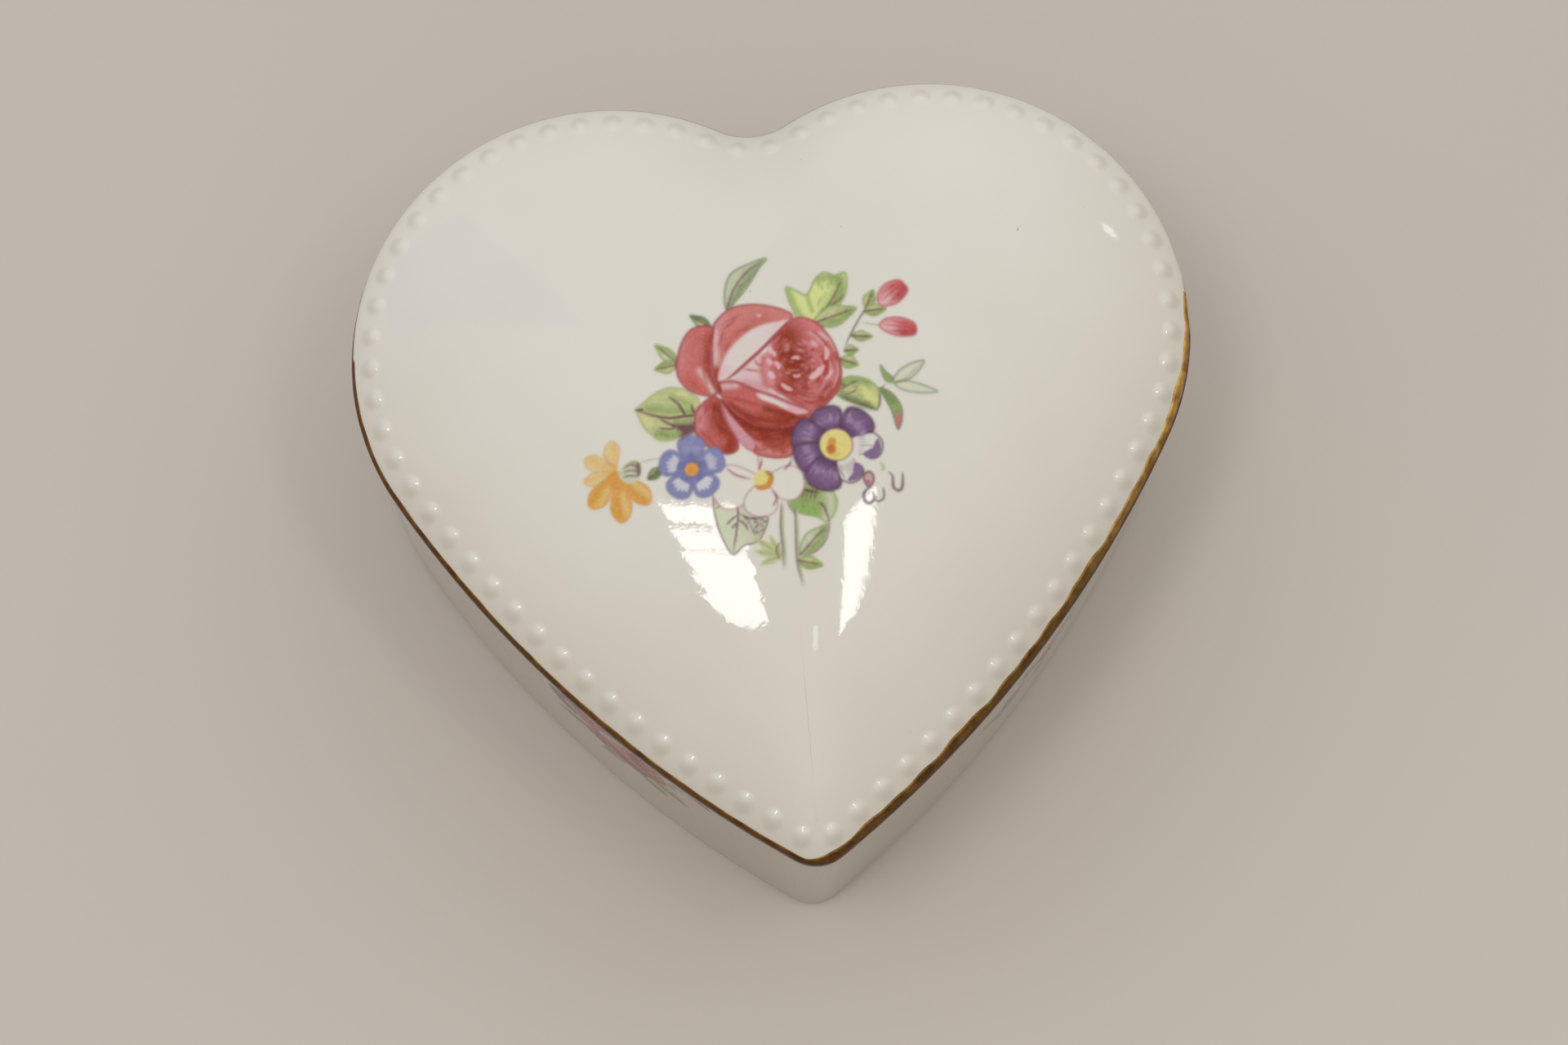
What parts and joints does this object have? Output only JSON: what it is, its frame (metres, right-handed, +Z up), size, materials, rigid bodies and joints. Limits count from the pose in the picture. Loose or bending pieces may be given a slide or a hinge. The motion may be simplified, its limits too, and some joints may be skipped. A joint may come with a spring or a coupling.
{
  "type": "wind-up music box",
  "caption": "Heart-shaped glazed china music box with a domed lift-off lid, a pinned-cylinder movement under a clear cover and a winding key in the foot.",
  "frame": {"origin": "middle of the outline's box, on the table", "axes": "+X across the lobes, +Y from the tip to the notch, +Z up"},
  "size_m": [0.11, 0.103, 0.0582],
  "materials": {
    "china": "ivory glaze",
    "clear_plastic": "clear moulded plastic, stands for polystyrene",
    "cast_zinc": "die-cast",
    "steel": "plain",
    "blue_steel": "blued",
    "comb_steel": "ground",
    "brass": "plain",
    "nickel": "nickel plated",
    "white_plastic": "moulded",
    "black_plastic": "moulded",
    "black_rubber": "moulded",
    "red_fibre": "vulcanised fibre"
  },
  "bodies": {
    "box": {"base_box": "china", "movement_cover": "clear_plastic", "bedplate": "cast_zinc", "spring_housing": "steel", "arbor_bush": "brass", "clutch_spring": "steel", "floor_grommet": "black_rubber", "movement_screws": "nickel", "screw_washers": "red_fibre", "left_bearing_post": "nickel", "right_bearing_post": "nickel", "frame_screws": "nickel", "comb": "comb_steel", "comb_screws": "brass", "governor_frame": "nickel", "stop_guide": "brass", "stop_spring": "steel"},
    "lid": {"lid": "china"},
    "key": {"winding_key": "nickel", "winding_arbor": "steel", "wheel_clip": "steel"},
    "spring_drive": {"great_wheel": "brass", "mainspring": "blue_steel"},
    "cylinder": {"cylinder_drum": "brass", "cylinder_end_caps": "white_plastic", "cylinder_shaft": "steel", "cylinder_pinion": "white_plastic", "cylinder_gear": "white_plastic"},
    "governor_wheels": {"governor_arbor": "steel", "governor_pinion": "brass", "worm_wheel": "white_plastic"},
    "governor": {"governor_worm": "steel", "governor_fan": "black_plastic"},
    "stop": {"stop_plunger": "nickel"}
  },
  "joints": [
    {"name": "lid_lift", "type": "slide", "parent": "box", "child": "lid", "axis": [0, 0, 1], "range_m": [0, 0.08]},
    {"name": "key_turn", "type": "hinge", "parent": "box", "child": "key", "pos_m": [-0.015, 0.012, 0.006], "axis": [0, 0, 1], "continuous": true},
    {"name": "cylinder_turn", "type": "hinge", "parent": "box", "child": "cylinder", "pos_m": [0.01, 0.012, 0.0258], "axis": [1, 0, 0], "continuous": true},
    {"name": "great_wheel_turn", "type": "hinge", "parent": "box", "child": "spring_drive", "pos_m": [-0.015, 0.012, 0.03], "axis": [0, 0, 1], "continuous": true},
    {"name": "governor_wheel_turn", "type": "hinge", "parent": "box", "child": "governor_wheels", "pos_m": [0.0287, 0.0205, 0.0258], "axis": [1, 0, 0], "continuous": true},
    {"name": "fan_turn", "type": "hinge", "parent": "box", "child": "governor", "pos_m": [0.0287, 0.0135, 0.0258], "axis": [0, 0, 1], "continuous": true},
    {"name": "stop_rise", "type": "slide", "parent": "box", "child": "stop", "axis": [0, 0, 1], "range_m": [0, 0.0022], "deforming": ["stop_spring"]}
  ],
  "couplings": [
    {"joint": "great_wheel_turn", "follows": "cylinder_turn", "ratio": -0.3},
    {"joint": "governor_wheel_turn", "follows": "cylinder_turn", "ratio": -3.25},
    {"joint": "fan_turn", "follows": "cylinder_turn", "ratio": -65},
    {"joint": "stop_rise", "follows": "lid_lift", "ratio": 0.0275}
  ]
}
